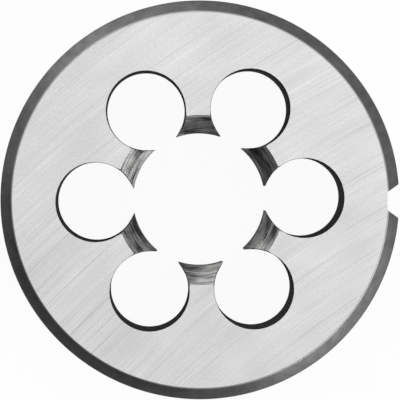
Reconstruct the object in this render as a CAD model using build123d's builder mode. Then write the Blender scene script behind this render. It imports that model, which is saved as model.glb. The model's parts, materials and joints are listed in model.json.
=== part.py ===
from build123d import *
from math import ceil, radians, tan
import os

os.makedirs("parts", exist_ok=True)

# Round threading die for a coarse M18 thread: one solid piece of high-speed steel.
# Millimetres. The thread runs along Z, the lower face lies on Z = 0, and the
# adjusting notch in the rim points along +X. The upper and lower ends are alike.

# Turned blank
body_diameter = 45.0
body_thickness = 18.0
rim_chamfer = 1.25

# Thread that the die cuts: right-hand, with flats at its crests and roots. The two cuts
# are the shares of the sharp triangle's height that those flats take off.
thread_diameter = 18.0
thread_pitch = 2.5
thread_flank_angle = 30.0
thread_root_cut = 0.125
thread_crest_cut = 0.21
thread_start_height = 0.6
groove_overcut = 0.2

# Lead cone at each end of the bore, where the cut starts, a little wider than the thread
lead_mouth_margin = 0.55
lead_cone_angle = 30.0

# Chip holes: they break through the crests and part the thread into lands
chip_hole_count = 6
chip_hole_diameter = 8.96
chip_hole_break_in = 0.28
chip_hole_clocking = 1.5

# Adjusting notch: a flat-bottomed vee across the rim
notch_depth = 1.4
notch_floor_width = 2.0
notch_flank_angle = 34.5

# Conical seats in the rim for the screws of the die stock
seat_diameter = 6.0
seat_flank_angle = 45.0
closing_seat_angle = 60.0
closing_seat_offset = 1.2
holding_seat_angle = 135.0

body_radius = body_diameter / 2
face_radius = body_radius - rim_chamfer

thread_radius = thread_diameter / 2
sharp_height = thread_pitch / 2 / tan(radians(thread_flank_angle))
thread_depth = sharp_height * (1 - thread_root_cut - thread_crest_cut)
bore_radius = thread_radius - thread_depth

lead_mouth_radius = thread_radius + lead_mouth_margin
lead_depth = (lead_mouth_radius - bore_radius) / tan(radians(lead_cone_angle))

chip_hole_radius = chip_hole_diameter / 2
chip_circle_radius = bore_radius + chip_hole_radius - chip_hole_break_in

# The groove's section reaches inside the crests, so that it cuts through them cleanly.
# Its turns start one pitch low and go on past the upper face.
groove_inner_radius = bore_radius - groove_overcut
groove_root_half = sharp_height * thread_root_cut * tan(radians(thread_flank_angle))
groove_flank_rise = (thread_radius - groove_inner_radius) * tan(radians(thread_flank_angle))
groove_mouth_half = groove_root_half + groove_flank_rise
groove_start = thread_start_height - thread_pitch
groove_turns = ceil((body_thickness - groove_start) / thread_pitch)

# The notch's section goes on outside the rim by the notch's own depth
notch_floor_radius = body_radius - notch_depth
notch_outer_radius = body_radius + notch_depth
notch_floor_half = notch_floor_width / 2
notch_flank_spread = (notch_outer_radius - notch_floor_radius) * tan(radians(notch_flank_angle))
notch_outer_half = notch_floor_half + notch_flank_spread

seat_radius = seat_diameter / 2
seat_depth = seat_radius / tan(radians(seat_flank_angle))


def seat_plane(angle, offset):
    """Plane of a seat's mouth, facing outwards at angle from the notch.

    The seat's axis passes beside the axis of the die by offset.
    """
    outward = Vector(1, 0, 0).rotate(Axis.Z, angle)
    along_rim = Vector(0, 1, 0).rotate(Axis.Z, angle)
    middle = Vector(0, 0, body_thickness / 2)
    return Plane(origin=middle + outward * body_radius + along_rim * offset, z_dir=outward)


# Cutter for one turn of the thread groove
with BuildPart() as groove_turn:
    with BuildLine() as groove_root:
        Helix(pitch=thread_pitch, height=thread_pitch, radius=thread_radius)
    with BuildSketch(Plane.XZ) as groove_section:
        with BuildLine():
            Polyline(
                (thread_radius, -groove_root_half),
                (thread_radius, groove_root_half),
                (groove_inner_radius, groove_mouth_half),
                (groove_inner_radius, -groove_mouth_half),
                close=True,
            )
        make_face()
    sweep(path=groove_root.wire(), is_frenet=True)

with BuildPart() as threading_die:
    # Blank with its rim chamfers, bore and lead cones, in one turning
    with BuildSketch(Plane.XZ) as half_section:
        with BuildLine():
            Polyline(
                (bore_radius, lead_depth),
                (lead_mouth_radius, 0),
                (face_radius, 0),
                (body_radius, rim_chamfer),
                (body_radius, body_thickness - rim_chamfer),
                (face_radius, body_thickness),
                (lead_mouth_radius, body_thickness),
                (bore_radius, body_thickness - lead_depth),
                close=True,
            )
        make_face()
    revolve(axis=Axis.Z)

    with PolarLocations(chip_circle_radius, chip_hole_count, start_angle=chip_hole_clocking):
        Hole(radius=chip_hole_radius)

    # Thread groove across the lands: each turn starts and ends in the first chip hole,
    # and the turns run out through both lead cones
    for turn in range(groove_turns):
        turn_height = groove_start + turn * thread_pitch
        with Locations(Location((0, 0, turn_height), (0, 0, chip_hole_clocking))):
            add(groove_turn.part, mode=Mode.SUBTRACT)

    # Notch in the rim, at the web where the die can be slit to adjust it
    with BuildSketch() as notch_section:
        with BuildLine():
            Polyline(
                (notch_floor_radius, -notch_floor_half),
                (notch_outer_radius, -notch_outer_half),
                (notch_outer_radius, notch_outer_half),
                (notch_floor_radius, notch_floor_half),
                close=True,
            )
        make_face()
    extrude(amount=body_thickness, mode=Mode.SUBTRACT)

    # Two seats hold the die in its stock. The two beside the notch close a slit die, and
    # are set back from the notch so that the screws press on their nearer flanks.
    with Locations(
        seat_plane(closing_seat_angle, closing_seat_offset),
        seat_plane(-closing_seat_angle, -closing_seat_offset),
        seat_plane(holding_seat_angle, 0),
        seat_plane(-holding_seat_angle, 0),
    ):
        Cone(
            bottom_radius=0,
            top_radius=seat_radius,
            height=seat_depth,
            align=(Align.CENTER, Align.CENTER, Align.MAX),
            mode=Mode.SUBTRACT,
        )

threading_die.part.label = "threading_die"
export_step(threading_die.part, "parts/threading_die.step")
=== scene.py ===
import json
from math import ceil, cos, pi, radians, sin, tan

import bmesh
import bpy
import numpy as np
from mathutils import Matrix, Vector


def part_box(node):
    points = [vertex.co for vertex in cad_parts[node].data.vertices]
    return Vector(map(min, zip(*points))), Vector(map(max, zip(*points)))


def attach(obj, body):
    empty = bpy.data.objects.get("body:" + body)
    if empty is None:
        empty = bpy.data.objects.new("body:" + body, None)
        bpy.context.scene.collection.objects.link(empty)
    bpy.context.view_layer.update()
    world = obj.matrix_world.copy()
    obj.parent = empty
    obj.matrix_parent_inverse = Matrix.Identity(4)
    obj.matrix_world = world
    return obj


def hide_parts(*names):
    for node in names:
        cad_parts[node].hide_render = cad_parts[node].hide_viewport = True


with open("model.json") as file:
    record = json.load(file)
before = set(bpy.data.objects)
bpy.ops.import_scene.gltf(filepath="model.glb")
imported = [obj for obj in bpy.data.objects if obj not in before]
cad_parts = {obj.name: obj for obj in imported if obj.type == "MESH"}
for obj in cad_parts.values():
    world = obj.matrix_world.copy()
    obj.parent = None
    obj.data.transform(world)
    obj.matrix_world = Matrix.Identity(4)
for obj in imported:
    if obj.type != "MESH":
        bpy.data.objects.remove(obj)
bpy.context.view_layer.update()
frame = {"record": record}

# Round threading die of high-speed steel, in one piece, on white card

# ---------------------------------------------------------------------------
# Sizes of the die, in millimetres. What the frame holds is read from it.
# ---------------------------------------------------------------------------

NODE = "threading_die"
MM = 0.001
TURN = 2 * pi

mounts = {mount["name"]: mount for mount in frame["record"]["mounts"]}
low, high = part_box(NODE)
thickness = (high.z - low.z) / MM
body_radius = mounts["rim"]["dims"]["r_mm"]
rim_chamfer = (thickness - mounts["rim"]["dims"]["length_mm"]) / 2
face_radius = body_radius - rim_chamfer

# Right-hand thread with flats at its crests and roots. A root's flat is an eighth of the
# pitch wide.
crest_radius = mounts["thread"]["dims"]["r_mm"]
thread_radius = 9.0
thread_pitch = 2.5
thread_start_height = 0.6
flank_slope = tan(radians(30))
root_half = thread_pitch / 16
flank_width = (thread_radius - crest_radius) * flank_slope

# Lead cones, where the cut starts, at both ends of the bore
lead_mouth_radius = 9.55
lead_slope = tan(radians(30))
lead_depth = (lead_mouth_radius - crest_radius) / lead_slope

# Chip holes, which break through the crests and part the thread into lands
hole_count = 6
hole_radius = 4.48
hole_break_in = 0.28
hole_circle_radius = crest_radius + hole_radius - hole_break_in
hole_clocking = radians(1.5)

# Adjusting notch: a flat-bottomed vee across the rim, on the X axis
notch_floor_x = mounts["adjusting_notch"]["pos_m"][0] / MM
notch_floor_half = 1.0
notch_slope = tan(radians(34.5))

# Conical seats in the rim for the screws of the die stock
seats = [mounts[name] for name in mounts if "_seat_" in name]
seat_radius = 3.0
seat_flank_slope = tan(radians(45))

# How much of each edge is taken off. It is keen where the bore meets the faces, and softer
# where a land meets a chip hole, round the faces and the rim, and at the notch.
keen_edge = 0.04
land_easing = 0.12
face_easing = 0.10
rim_easing = 0.15
notch_easing = 0.12

# Height of the band beside each face where grinding has worn the oxide through
edge_wear = 0.08

# Columns of faces across one land, round one chip hole's wall, and round the rim
land_columns = 12
hole_columns = 40
rim_columns = 360

# Rows of faces down a thread flank, down a lead cone and round an eased edge
flank_rows = 6
lead_rows = 6
easing_rows = 4

# Each seat is set into a square patch of the rim, wider than its mouth by this factor and
# this many rows high. It has this many rings of faces round its mouth, and down its cone.
seat_patch_factor = 1.25
seat_patch_half = seat_patch_factor * seat_radius
seat_patch_rows = 14
seat_rings = 3

# Turns of the groove that run out through each lead cone, and rounds of fitting the ends of
# a land to the chip holes
run_out_turns = 3
land_rounds = 12

# A face this near the lead cone's radius is part of it, and points closer than the merging
# distance become one
lead_tolerance = 0.012
merge_distance = 0.001

# Edges steeper than the sharp angle stay sharp, and so do all edges of a level face, whose
# normal points up or down by at least this share
sharp_angle = radians(25)
level_normal = 0.9999

# Middle of the rotary table's turn, about which the faces' grinding scratches are arcs
grinding_middle = Vector((85, -111, 0))

# Material slots of the die
GROUND, OXIDE, BORED, LEAD, THREAD = range(5)


# ---------------------------------------------------------------------------
# Die: threaded lands and chip holes
# ---------------------------------------------------------------------------

def groove_height(angle):
    """Height of the thread groove's middle at this angle, on its first turn."""
    return thread_start_height + thread_pitch * (angle - hole_clocking) / TURN


def bore_surface(angle, height):
    """Radius of the threaded bore: the widest of its crest, groove and lead cones."""
    beside = (height - groove_height(angle) + thread_pitch / 2) % thread_pitch - thread_pitch / 2
    groove = thread_radius - np.clip((abs(beside) - root_half) / flank_slope, 0, None)
    lead = lead_mouth_radius - np.minimum(height, thickness - height) * lead_slope
    return np.maximum(np.maximum(groove, lead), crest_radius)


def run_out_depths(groove):
    """Depths under a face at which a groove's two flanks come out through the lead cone."""
    margin = (lead_mouth_radius - thread_radius) * flank_slope
    far = (groove + root_half - margin) / (1 - lead_slope * flank_slope)
    near = (groove - root_half + margin) / (1 + lead_slope * flank_slope)
    return [np.minimum(far, lead_depth), np.minimum(near, lead_depth)]


def bore_rows(angle):
    """Heights of the mesh's rows at this angle, from the bottom up, with one on each edge."""
    flank = np.linspace(root_half, root_half + flank_width, flank_rows)
    section = [*-flank, *flank, thread_pitch / 2]
    first = groove_height(angle)
    grooves = [first + turn * thread_pitch for turn in range(-1, ceil(thickness / thread_pitch))]
    rows = [groove + offset for groove in grooves for offset in section]
    for groove in grooves[:run_out_turns]:
        rows += run_out_depths(groove)
    for groove in grooves[-run_out_turns:]:
        rows += [thickness - depth for depth in run_out_depths(thickness - groove)]
    # These are the same at every angle, and angle * 0 gives them its shape
    for depth in np.linspace(0, lead_depth, lead_rows):
        rows += [angle * 0 + depth, angle * 0 + thickness - depth]
    return np.sort(np.clip(rows, keen_edge, thickness - keen_edge), axis=0)


def half_opening(radius):
    """Half the angle that a chip hole opens in the bore's circle of this radius."""
    squares = radius**2 + hole_circle_radius**2 - hole_radius**2
    return np.arccos(squares / (2 * radius * hole_circle_radius))


def land_column(land, share):
    """One column of a land's points, as (radius, angle, height), at a share of the way across.

    The land stops short of the chip hole by its easing. Where that is depends on the radius,
    and the radius on the angle, so they are brought together in a few rounds. Each row has
    an angle of its own, and so takes its height from the rows at that angle.
    """
    middle = hole_clocking + (land + 0.5) * TURN / hole_count
    row = np.arange(len(bore_rows(middle)))
    angle = np.full(len(row), middle)
    for _ in range(land_rounds):
        height = bore_rows(angle)[row, row]
        radius = bore_surface(angle, height)
        half_land = pi / hole_count - half_opening(radius) - land_easing / radius
        angle = middle + (2 * share - 1) * half_land
    return np.array([radius, angle, height])


def polar_points(column):
    """Points of a column that is given as (radius, angle, height)."""
    radius, angle, height = column
    return np.stack([radius * np.cos(angle), radius * np.sin(angle), height], axis=-1)


def hole_wall(hole):
    """Rows of points round a chip hole's wall, from the land before it to the land after it."""
    before = land_column(hole - 1, 1)
    after = land_column(hole, 0)
    middle = hole_clocking + hole * TURN / hole_count

    def wall_angle(column):
        """Angle of a column's points round the chip hole's own axis."""
        radius, angle, _ = column
        across = radius * np.sin(angle - middle)
        along = radius * np.cos(angle - middle) - hole_circle_radius
        return np.arctan2(across, along)

    columns = [polar_points(before)]
    for share in np.linspace(0, 1, hole_columns + 1)[1:-1]:
        turn = (1 - share) * wall_angle(before) + share * wall_angle(after)
        height = (1 - share) * before[2] + share * after[2]
        out = hole_circle_radius + hole_radius * np.cos(turn)
        aside = hole_radius * np.sin(turn)
        x = out * cos(middle) - aside * sin(middle)
        y = out * sin(middle) + aside * cos(middle)
        columns.append(np.stack([x, y, height], axis=-1))
    columns.append(polar_points(after))
    return np.stack(columns, axis=1)


# ---------------------------------------------------------------------------
# Die: rim, notch and seats
# ---------------------------------------------------------------------------

def eased(before, corner, after):
    """Points of the soft curve that takes the corner off between two points beside it."""
    share = np.linspace(0, 1, easing_rows + 1)[:, None]
    before, corner, after = np.array(before), np.array(corner), np.array(after)
    return (1 - share) ** 2 * before + 2 * share * (1 - share) * corner + share**2 * after


def rim_profile():
    """(radius, height) of the rim's points, from the lower face's edge up to the upper one's.

    The chamfers stand at 45 degrees, and a step of one along them is a slant out and up.
    """
    slant = 1 / 2**0.5
    face_edge = eased(
        (face_radius - face_easing, 0),
        (face_radius, 0),
        (face_radius + face_easing * slant, face_easing * slant),
    )
    rim_edge = eased(
        (body_radius - rim_easing * slant, rim_chamfer - rim_easing * slant),
        (body_radius, rim_chamfer),
        (body_radius, rim_chamfer + rim_easing),
    )
    lower = np.concatenate([face_edge, rim_edge])
    upper = lower[::-1] * (1, -1) + (0, thickness)
    patch_heights = np.linspace(-seat_patch_half, seat_patch_half, seat_patch_rows + 1)
    band = [(body_radius, thickness / 2 + height) for height in patch_heights]
    return np.concatenate([lower, band, upper])


def rim_outline(radius):
    """Closed outline of the rim at this radius, with the notch and its eased corners.

    The notch's flank is a line from its floor, and its outer corner is where that line
    meets the rim's circle.
    """
    start = notch_floor_half - notch_floor_x * notch_slope
    square = 1 + notch_slope**2
    corner_x = ((radius**2 * square - start**2) ** 0.5 - start * notch_slope) / square
    corner = np.array([corner_x, start + notch_slope * corner_x])
    floor = np.array([notch_floor_x, notch_floor_half])
    flank = corner - floor
    flank_length = np.linalg.norm(flank)
    flank /= flank_length
    # The flank is short near the faces, and each of its two easings takes a third of it at most
    cut = min(notch_easing, flank_length / 3)

    corner_angle = np.arctan2(corner[1], corner[0])
    first_angle = corner_angle + cut / radius
    angles = np.linspace(first_angle, TURN - first_angle, rim_columns + 1)
    around = radius * np.stack([np.cos(angles), np.sin(angles)], axis=-1)
    floor_end = floor - (0, cut)
    side = np.concatenate([
        eased(floor_end, floor, floor + cut * flank),
        eased(corner - cut * flank, corner, around[0]),
    ])
    mirrored = side[::-1] * (1, -1)
    return np.concatenate([around[1:-1], mirrored, side])


def seat_mouth(seat, directions):
    """Points where a conical seat opens in the rim, in these directions round its axis.

    Each is where a ray from the cone's tip meets the rim's cylinder. The tip is returned too.
    """
    mouth = Vector(seat["pos_m"]) / MM
    axis = Vector(seat["axis"])
    along = Vector((-axis.y, axis.x, 0))
    tip = mouth - axis * seat_radius / seat_flank_slope
    points = []
    for direction in directions:
        ray = axis / seat_flank_slope + along * cos(direction) + Vector((0, 0, sin(direction)))
        level = ray.xy
        reach = level.dot(tip.xy)
        square = level.length_squared
        root = (reach**2 - square * (tip.xy.length_squared - body_radius**2)) ** 0.5
        points.append(tip + ray * (root - reach) / square)
    return np.array(points), np.array(tip)


# ---------------------------------------------------------------------------
# Die: the whole mesh
# ---------------------------------------------------------------------------

def add_rows(mesh, rows, finish, closed=False):
    """Joins rows of points with quads, and returns the rows of vertices."""
    grid = [[mesh.verts.new(Vector(point) * MM) for point in row] for row in rows]
    for lower, upper in zip(grid, grid[1:]):
        columns = len(lower) if closed else len(lower) - 1
        for i in range(columns):
            j = (i + 1) % len(lower)
            quad = mesh.faces.new((lower[i], lower[j], upper[j], upper[i]))
            quad.material_index = finish
    return grid


def set_out(loop, distance):
    """A closed loop of points moved out to the right of its way round, with mitred corners."""
    flat = loop[:, :2]
    ahead = np.roll(flat, -1, axis=0) - flat
    ahead /= np.linalg.norm(ahead, axis=1)[:, None]
    right = ahead[:, ::-1] * (1, -1)
    right_before = np.roll(right, 1, axis=0)
    mitre = (right + right_before) / (1 + (right * right_before).sum(axis=1))[:, None]
    return np.column_stack([flat + distance * mitre, loop[:, 2]])


def bore_finish(face):
    """The lead cones' finish where a land's face lies on one, and the thread's elsewhere."""
    place = face.calc_center_median() / MM
    lead = lead_mouth_radius - min(place.z, thickness - place.z) * lead_slope
    return LEAD if abs(place.xy.length - lead) < lead_tolerance else THREAD


def add_bore(mesh):
    """Lands, chip holes and the keen edges that they make with the faces.

    The eased strips on either side of a chip hole are finished as the lands are.
    """
    lower_edge = []
    upper_edge = []
    for land in range(hole_count):
        shares = np.linspace(0, 1, land_columns + 1)
        lands = np.stack([polar_points(land_column(land, share)) for share in shares], axis=1)
        wall = hole_wall(land + 1)
        first_face = len(mesh.faces)
        for strip in (lands, wall[:, :2], wall[:, -2:]):
            add_rows(mesh, strip, THREAD)
        mesh.faces.ensure_lookup_table()
        for face in mesh.faces[first_face:]:
            face.material_index = bore_finish(face)
        add_rows(mesh, wall[:, 1:-1], BORED)
        lower_edge += [*lands[0], *wall[0][1:-1]]
        upper_edge += [*lands[-1], *wall[-1][1:-1]]
    # The keen edges round the bore take the chip holes' finish, and with it its painted shade
    for edge, height in ((lower_edge, 0), (upper_edge, thickness)):
        loop = np.array(edge)
        wider = set_out(loop, keen_edge)
        wider[:, 2] = height
        add_rows(mesh, [loop, wider], BORED, closed=True)


def add_seat(mesh, grid, seat):
    """Cuts a patch out of the rim's grid of vertices, and fills it with the conical seat."""
    level = [row[0].co.z / MM - thickness / 2 for row in grid]
    bottom = min(range(len(grid)), key=lambda i: abs(level[i] + seat_patch_half))
    top = min(range(len(grid)), key=lambda i: abs(level[i] - seat_patch_half))
    mouth = Vector(seat["pos_m"]) / MM
    along = Vector((-seat["axis"][1], seat["axis"][0], 0))
    beside = [(vertex.co / MM - mouth).dot(along) for vertex in grid[bottom]]
    facing = [vertex.co.dot(mouth) > 0 for vertex in grid[bottom]]
    columns = [i for i, offset in enumerate(beside) if facing[i] and abs(offset) < seat_patch_half]
    first, last = columns[0], columns[-1]

    rim = [grid[bottom][i] for i in range(first, last)]
    rim += [grid[i][last] for i in range(bottom, top)]
    rim += [grid[top][i] for i in range(last, first, -1)]
    rim += [grid[i][first] for i in range(top, bottom, -1)]
    inside = {grid[i][j] for i in range(bottom, top + 1) for j in range(first, last + 1)}
    covered = [face for face in mesh.faces if inside.issuperset(face.verts)]
    bmesh.ops.delete(mesh, geom=covered, context="FACES")

    outer = np.array([vertex.co / MM for vertex in rim])
    offsets = (outer - mouth) @ np.array(along)
    opening, tip = seat_mouth(seat, np.arctan2(outer[:, 2] - mouth.z, offsets))
    rings = []
    for share in np.linspace(0, 1, seat_rings + 1):
        ring = (1 - share) * outer + share * opening
        ring[:, :2] *= body_radius / np.linalg.norm(ring[:, :2], axis=1)[:, None]
        rings.append(ring)
    add_rows(mesh, rings, OXIDE, closed=True)
    cone = [(1 - share) * opening + share * tip for share in np.linspace(0, 1, seat_rings + 1)]
    add_rows(mesh, cone, OXIDE, closed=True)


def add_rim(mesh):
    """Chamfers, cylindrical rim with its seats, and the notch through it."""
    rows = []
    for radius, height in rim_profile():
        outline = rim_outline(radius)
        rows.append(np.column_stack([outline, np.full(len(outline), height)]))
    grid = add_rows(mesh, rows, OXIDE, closed=True)
    for seat in seats:
        add_seat(mesh, grid, seat)


def close_faces(mesh):
    """Fills the two flat faces between the rim and the bore."""
    near = keen_edge * MM / 2
    for height in (0, thickness * MM):
        edges = [
            edge for edge in mesh.edges
            if edge.is_boundary and all(abs(vertex.co.z - height) < near for vertex in edge.verts)
        ]
        normal = Vector((0, 0, 1 if height else -1))
        fill = bmesh.ops.triangle_fill(mesh, use_beauty=True, edges=edges, normal=normal)
        for item in fill["geom"]:
            if isinstance(item, bmesh.types.BMFace):
                item.material_index = GROUND


def build_die(finishes):
    """The die as one closed mesh, with a material slot for each finish."""
    mesh = bmesh.new()
    add_bore(mesh)
    add_rim(mesh)
    bmesh.ops.remove_doubles(mesh, verts=mesh.verts, dist=merge_distance * MM)
    loose = [vertex for vertex in mesh.verts if not vertex.link_faces]
    bmesh.ops.delete(mesh, geom=loose, context="VERTS")
    close_faces(mesh)
    bmesh.ops.recalc_face_normals(mesh, faces=mesh.faces)
    for face in mesh.faces:
        face.smooth = True
    for edge in mesh.edges:
        level = any(abs(face.normal.z) > level_normal for face in edge.link_faces)
        edge.smooth = not level and edge.calc_face_angle() < sharp_angle
    data = bpy.data.meshes.new("round_threading_die")
    mesh.to_mesh(data)
    mesh.free()
    for finish in finishes:
        data.materials.append(finish)
    die = bpy.data.objects.new("round_threading_die", data)
    bpy.context.scene.collection.objects.link(die)
    return die


# ---------------------------------------------------------------------------
# Finishes
# ---------------------------------------------------------------------------

# This turns the stretch of the gloss from round the die to up and down it
quarter_turn = 0.25


def linear(hex_colour):
    """The linear RGBA of an sRGB colour written as #rrggbb, by the sRGB curve."""
    channels = [int(hex_colour[i:i + 2], 16) / 255 for i in (1, 3, 5)]
    return (*[c / 12.92 if c <= 0.04045 else ((c + 0.055) / 1.055) ** 2.4 for c in channels], 1)


def add_node(tree, kind, settings=None, **links):
    """Adds a node with its settings, and sets or links its inputs by name or number.

    An underscore in a name stands for a space, and _0 is the first input.
    """
    node = tree.nodes.new(kind)
    for name, value in (settings or {}).items():
        setattr(node, name, value)
    for name, value in links.items():
        key = int(name[1:]) if name.startswith("_") else name.replace("_", " ")
        socket = node.inputs[key]
        if isinstance(value, bpy.types.NodeSocket):
            tree.links.new(value, socket)
        else:
            socket.default_value = value
    return node


def new_finish(name):
    """A material with an empty node tree."""
    material = bpy.data.materials.new(name)
    material.use_nodes = True
    material.node_tree.nodes.clear()
    return material, material.node_tree


def grain(tree, across, along, width, length, shift=0.0):
    """Noise drawn out into streaks of this width and length, in millimetres.

    Across and along are places in metres, square to the streaks and with them. The shift
    goes to another place in the noise, so that no two patterns are alike.
    """
    x = add_node(tree, "ShaderNodeMath", {"operation": "MULTIPLY_ADD"},
                 _0=across, _1=1 / (width * MM), _2=shift)
    y = add_node(tree, "ShaderNodeMath", {"operation": "MULTIPLY"},
                 _0=along, _1=1 / (length * MM))
    place = add_node(tree, "ShaderNodeCombineXYZ", X=x.outputs[0], Y=y.outputs[0])
    noise = add_node(tree, "ShaderNodeTexNoise", {"noise_dimensions": "2D"},
                     Vector=place.outputs[0], Scale=1.0, Detail=1.5, Roughness=0.5)
    return noise.outputs["Fac"]


def weigh(tree, parts, middle=0.5):
    """Sum of noises, each swung about its middle by its weight, around this middle."""
    total = middle - sum(weight for _, weight in parts) / 2
    for noise, weight in parts:
        total = add_node(tree, "ShaderNodeMath", {"operation": "MULTIPLY_ADD"},
                         _0=noise, _1=weight, _2=total).outputs[0]
    return total


def two_tone(tree, share, dark, light):
    """Colour that goes from dark to light with the share."""
    mix = add_node(tree, "ShaderNodeMix", {"data_type": "RGBA"},
                   _0=share, _6=linear(dark), _7=linear(light))
    return mix.outputs[2]


def spread(tree, value, old_range, new_range):
    """The value brought from one range to another, and held within it."""
    node = add_node(tree, "ShaderNodeMapRange", Value=value,
                    _1=old_range[0], _2=old_range[1], _3=new_range[0], _4=new_range[1])
    return node.outputs[0]


def ground_steel():
    """High-speed steel, surface ground: bright, with the long curved scratches of the wheel.

    The scratches are arcs about the middle of the table that carried the die under the
    wheel, and here and there one is deep, or has a painted glint: a brighter streak in the
    colour. They stretch the gloss square to themselves. A grit mark is a few hundredths of a
    millimetre wide, which is too fine to show, so they are drawn about 0.25 mm wide. Pits of
    the grit and cloudy places lie between them.
    """
    material, tree = new_finish("surface_ground_high_speed_steel")
    place = add_node(tree, "ShaderNodeTexCoord")
    from_table = add_node(tree, "ShaderNodeVectorMath", {"operation": "SUBTRACT"},
                          _0=place.outputs["Object"], _1=grinding_middle * MM)
    flat = add_node(tree, "ShaderNodeVectorMath", {"operation": "MULTIPLY"},
                    _0=from_table.outputs[0], _1=(1, 1, 0))
    radius = add_node(tree, "ShaderNodeVectorMath", {"operation": "LENGTH"}, _0=flat.outputs[0])
    across = radius.outputs["Value"]
    split = add_node(tree, "ShaderNodeSeparateXYZ", Vector=flat.outputs[0])
    angle = add_node(tree, "ShaderNodeMath", {"operation": "ARCTAN2"},
                     _0=split.outputs["Y"], _1=split.outputs["X"])
    along = add_node(tree, "ShaderNodeMath", {"operation": "MULTIPLY"},
                     _0=angle.outputs[0], _1=grinding_middle.length * MM).outputs[0]

    fine = grain(tree, across, along, width=0.28, length=14.0)
    bunched = grain(tree, across, along, width=0.8, length=20.0, shift=40)
    cloudy = grain(tree, across, along, width=4.0, length=7.0, shift=3)
    pitted = grain(tree, across, along, width=0.16, length=0.3, shift=160)

    # Of the next two, only the strongest streaks count, and the rest stays in the middle
    gouges = grain(tree, across, along, width=0.22, length=20.0, shift=120)
    deep = spread(tree, gouges, (0.63, 0.73), (0.5, 0.0))
    # Painted glints: the strongest of these streaks are lighter in the colour
    painted_glints = grain(tree, across, along, width=0.22, length=16.0, shift=200)
    bright = spread(tree, painted_glints, (0.66, 0.76), (0.5, 1.0))

    marks = [(fine, 0.19), (bunched, 0.15), (cloudy, 0.35), (pitted, 0.4), (deep, 0.5), (bright, 0.5)]
    tone = weigh(tree, marks, middle=0.72)
    relief = add_node(tree, "ShaderNodeBump", Strength=0.5, Distance=0.002 * MM, Height=tone)
    shader = add_node(
        tree, "ShaderNodeBsdfPrincipled",
        Base_Color=two_tone(tree, tone, "#b8b8b8", "#f4f4f4"), Metallic=1.0, Roughness=0.42,
        Anisotropic=0.6, Normal=relief.outputs[0], Tangent=flat.outputs[0],
    )
    add_node(tree, "ShaderNodeOutputMaterial", Surface=shader.outputs["BSDF"])
    return material


def oxide_steel():
    """Turned steel as it comes from hardening: a matt dark grey oxide, softly mottled.

    The turning marks under the skin run round the die, so the gloss stretches up and down.
    Grinding the faces has bared a thin light line beside them.
    """
    mottle_size = 1.3
    speckle_size = 0.25
    material, tree = new_finish("hardened_steel_oxide_skin")
    place = add_node(tree, "ShaderNodeTexCoord")
    mottle = add_node(tree, "ShaderNodeTexNoise", Vector=place.outputs["Object"],
                      Scale=1 / (mottle_size * MM), Detail=2.0, Roughness=0.6)
    speckle = add_node(tree, "ShaderNodeTexNoise", Vector=place.outputs["Object"],
                       Scale=1 / (speckle_size * MM), Detail=1.0, Roughness=0.5)
    tone = weigh(tree, [(mottle.outputs["Fac"], 1.5), (speckle.outputs["Fac"], 0.5)])
    split = add_node(tree, "ShaderNodeSeparateXYZ", Vector=place.outputs["Object"])
    above_middle = add_node(tree, "ShaderNodeMath", {"operation": "SUBTRACT"},
                            _0=split.outputs["Z"], _1=thickness / 2 * MM)
    from_middle = add_node(tree, "ShaderNodeMath", {"operation": "ABSOLUTE"},
                           _0=above_middle.outputs[0])
    wear_band = ((thickness / 2 - edge_wear) * MM, thickness / 2 * MM)
    wear = spread(tree, from_middle.outputs[0], wear_band, (0.0, 1.0))
    colour = add_node(tree, "ShaderNodeMix", {"data_type": "RGBA"},
                      _0=wear, _6=two_tone(tree, tone, "#3c3c3c", "#545454"), _7=linear("#a8a8a7"))
    relief = add_node(tree, "ShaderNodeBump", Strength=0.5, Distance=0.006 * MM, Height=tone)
    turned = add_node(tree, "ShaderNodeTangent", {"direction_type": "RADIAL", "axis": "Z"})
    shader = add_node(
        tree, "ShaderNodeBsdfPrincipled",
        Base_Color=colour.outputs[2], Metallic=1.0, Roughness=0.45,
        Anisotropic=0.3, Anisotropic_Rotation=quarter_turn,
        Normal=relief.outputs[0], Tangent=turned.outputs[0],
    )
    add_node(tree, "ShaderNodeOutputMaterial", Surface=shader.outputs["BSDF"])
    return material


def drilled_steel():
    """Drilled chip holes, with the dark scale of hardening, made near black and almost without gloss
    as painted shade.
    """
    dark_mottle_size = 0.9
    material, tree = new_finish("drilled_steel_scale_and_painted_shade")
    place = add_node(tree, "ShaderNodeTexCoord")
    dark_mottle = add_node(tree, "ShaderNodeTexNoise", Vector=place.outputs["Object"],
                    Scale=1 / (dark_mottle_size * MM), Detail=2.0, Roughness=0.6).outputs["Fac"]
    relief = add_node(tree, "ShaderNodeBump", Strength=0.5, Distance=0.008 * MM, Height=dark_mottle)
    # Near black and almost without gloss: painted shade inside the chip holes, over their dark scale
    shader = add_node(
        tree, "ShaderNodeBsdfPrincipled",
        Base_Color=two_tone(tree, dark_mottle, "#141414", "#2a2a2a"), Metallic=0.0, Roughness=0.8,
        Specular_IOR_Level=0.03, Normal=relief.outputs[0],
    )
    add_node(tree, "ShaderNodeOutputMaterial", Surface=shader.outputs["BSDF"])
    return material


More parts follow.
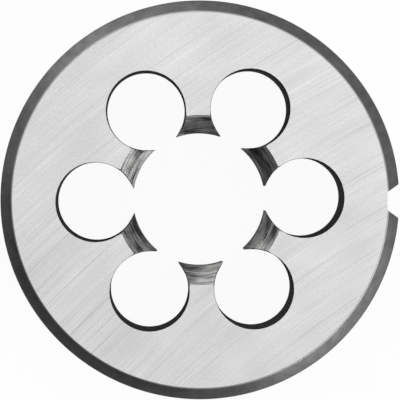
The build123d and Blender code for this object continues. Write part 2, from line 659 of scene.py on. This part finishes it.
def bore_steel(name, dark, light):
    """Steel cut or ground in the bore: half-bright, ringed and dragged by the tool.

    The rings run round the bore, so the gloss stretches up and down it. The real marks are
    too fine to show, so they are drawn 0.25 and 0.5 mm wide. Some lands are lighter than
    others, as painted light.
    """
    material, tree = new_finish(name)
    place = add_node(tree, "ShaderNodeTexCoord")
    split = add_node(tree, "ShaderNodeSeparateXYZ", Vector=place.outputs["Object"])
    across = split.outputs["Z"]
    angle = add_node(tree, "ShaderNodeMath", {"operation": "ARCTAN2"},
                     _0=split.outputs["Y"], _1=split.outputs["X"])
    along = add_node(tree, "ShaderNodeMath", {"operation": "MULTIPLY"},
                     _0=angle.outputs[0], _1=thread_radius * MM).outputs[0]
    # The shifts of these noises are set so that some lands come out lighter and others darker:
    # painted light over the tool marks
    rings = grain(tree, across, along, width=0.5, length=6.0, shift=90)
    fine = grain(tree, across, along, width=0.25, length=2.5, shift=82)
    drag = grain(tree, across, along, width=1.2, length=1.2, shift=98)
    painted_land_light = grain(tree, across, along, width=9.0, length=5.0, shift=244)
    tone = weigh(tree, [(rings, 2.0), (fine, 0.9), (drag, 0.6), (painted_land_light, 1.5)])
    relief = add_node(tree, "ShaderNodeBump", Strength=0.5, Distance=0.006 * MM, Height=tone)
    turned = add_node(tree, "ShaderNodeTangent", {"direction_type": "RADIAL", "axis": "Z"})
    shader = add_node(
        tree, "ShaderNodeBsdfPrincipled",
        Base_Color=two_tone(tree, tone, dark, light), Metallic=1.0, Roughness=0.5,
        Anisotropic=0.7, Anisotropic_Rotation=quarter_turn,
        Normal=relief.outputs[0], Tangent=turned.outputs[0],
    )
    add_node(tree, "ShaderNodeOutputMaterial", Surface=shader.outputs["BSDF"])
    return material


# The leads are ground after hardening. The thread is cut before it, and keeps a thin oxide.
lead_steel = bore_steel("ground_steel_lead", "#343434", "#bcbcbb")
thread_steel = bore_steel("cut_steel_thread", "#3c3c3c", "#989897")

die = build_die([ground_steel(), oxide_steel(), drilled_steel(), lead_steel, thread_steel])
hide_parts(NODE)
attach(die, "root")


# ---------------------------------------------------------------------------
# Floor, light and camera, in metres
# ---------------------------------------------------------------------------

lamp_distance = 1.5
floor_half = 3.0


def white_card():
    """Matt white card for the floor.

    What the camera, gloss and glass see of it is nearly all glow, at the strength of white,
    and the rest is lit card, which takes the die's shadow.
    """
    glow_share = 0.95
    material, tree = new_finish("matt_white_card")
    rays = add_node(tree, "ShaderNodeLightPath")
    seen = add_node(tree, "ShaderNodeMath", {"operation": "ADD"},
                    _0=rays.outputs["Is Camera Ray"], _1=rays.outputs["Is Glossy Ray"])
    seen = add_node(tree, "ShaderNodeMath", {"operation": "ADD", "use_clamp": True},
                    _0=seen.outputs[0], _1=rays.outputs["Is Transmission Ray"])
    share = add_node(tree, "ShaderNodeMath", {"operation": "MULTIPLY"},
                     _0=seen.outputs[0], _1=glow_share)
    card = add_node(tree, "ShaderNodeBsdfDiffuse", Color=linear("#f4f4f4"))
    glow = add_node(tree, "ShaderNodeEmission", Strength=1.0)
    mixed = add_node(tree, "ShaderNodeMixShader",
                     Fac=share.outputs[0], _1=card.outputs[0], _2=glow.outputs[0])
    add_node(tree, "ShaderNodeOutputMaterial", Surface=mixed.outputs[0])
    return material


floor_data = bpy.data.meshes.new("floor")
floor_signs = ((-1, -1), (1, -1), (1, 1), (-1, 1))
floor_corners = [(x * floor_half, y * floor_half, 0) for x, y in floor_signs]
floor_data.from_pydata(floor_corners, [], [(0, 1, 2, 3)])
floor_data.materials.append(white_card())
floor = bpy.data.objects.new("floor", floor_data)
bpy.context.scene.collection.objects.link(floor)

# A soft ceiling over dim walls: the sky brightens between these two heights on a unit sphere
sky_low = 0.35
sky_high = 0.75
horizon_strength = 0.05
dome_strength = 0.35
world = bpy.data.worlds.new("soft_studio")
world.use_nodes = True
world.node_tree.nodes.clear()
sky_place = add_node(world.node_tree, "ShaderNodeTexCoord")
sky_split = add_node(world.node_tree, "ShaderNodeSeparateXYZ",
                     Vector=sky_place.outputs["Generated"])
sky_level = spread(world.node_tree, sky_split.outputs["Z"],
                   (sky_low, sky_high), (horizon_strength, dome_strength))
sky = add_node(world.node_tree, "ShaderNodeBackground", Color=(1, 1, 1, 1), Strength=sky_level)
add_node(world.node_tree, "ShaderNodeOutputWorld", Surface=sky.outputs[0])
bpy.context.scene.world = world


def add_softbox(name, azimuth, elevation, width, height, strength):
    """A soft rectangular lamp that faces the die, hidden from the camera but not from gloss.

    Its place is given in degrees and its size in metres. Its strength is its brightness,
    with 1 for white.
    """
    place = Vector((
        cos(radians(elevation)) * cos(radians(azimuth)),
        cos(radians(elevation)) * sin(radians(azimuth)),
        sin(radians(elevation)),
    ))
    data = bpy.data.lights.new(name, "AREA")
    data.shape = "RECTANGLE"
    data.size = width
    data.size_y = height
    data.energy = strength * pi * width * height
    lamp = bpy.data.objects.new(name, data)
    bpy.context.scene.collection.objects.link(lamp)
    lamp.location = place * lamp_distance
    lamp.rotation_euler = place.to_track_quat("Z", "Y").to_euler()
    lamp.visible_camera = False


# Low windows on opposite sides make the chamfers light there, and weak fills keep the rest
# of them dark but not black
add_softbox("overhead_softbox", 65, 70, 1.2, 1.2, 0.95)
add_softbox("lower_right_window", 308, 10, 0.8, 0.6, 9.0)
add_softbox("right_window", 338, 22, 0.8, 1.2, 5.0)
add_softbox("upper_right_fill", 38, 10, 2.4, 0.6, 2.8)
add_softbox("top_window", 98, 16, 0.8, 0.9, 4.0)
add_softbox("upper_left_window", 128, 10, 0.8, 0.6, 7.8)
add_softbox("left_fill", 160, 14, 0.8, 0.8, 2.0)
add_softbox("lower_fill", 278, 10, 0.6, 0.6, 1.3)

# The camera looks down at the middle of the upper face, a little from one side. The image
# is this many pixels across, with this many of them to a millimetre of that face.
camera_offset = Vector((-5.84, 4.14, 582.4)) * MM
camera_roll = radians(0.35)
image_width = 400
pixels_per_mm = 8.887

target = Vector((0, 0, high.z))
back = camera_offset.normalized()
up = Vector((-sin(camera_roll), cos(camera_roll), 0))
right = up.cross(back).normalized()
camera_turn = Matrix((right, back.cross(right), back)).transposed()

camera_data = bpy.data.cameras.new("camera")
camera_data.sensor_width = 36
image_mm = image_width / pixels_per_mm
camera_data.lens = camera_data.sensor_width * camera_offset.length / MM / image_mm
camera_data.clip_start = 0.01
camera_data.clip_end = 10
camera = bpy.data.objects.new("camera", camera_data)
bpy.context.scene.collection.objects.link(camera)
camera.matrix_world = Matrix.Translation(target + camera_offset) @ camera_turn.to_4x4()
bpy.context.scene.camera = camera

bpy.context.scene.view_settings.view_transform = "Standard"

bpy.context.view_layer.update()
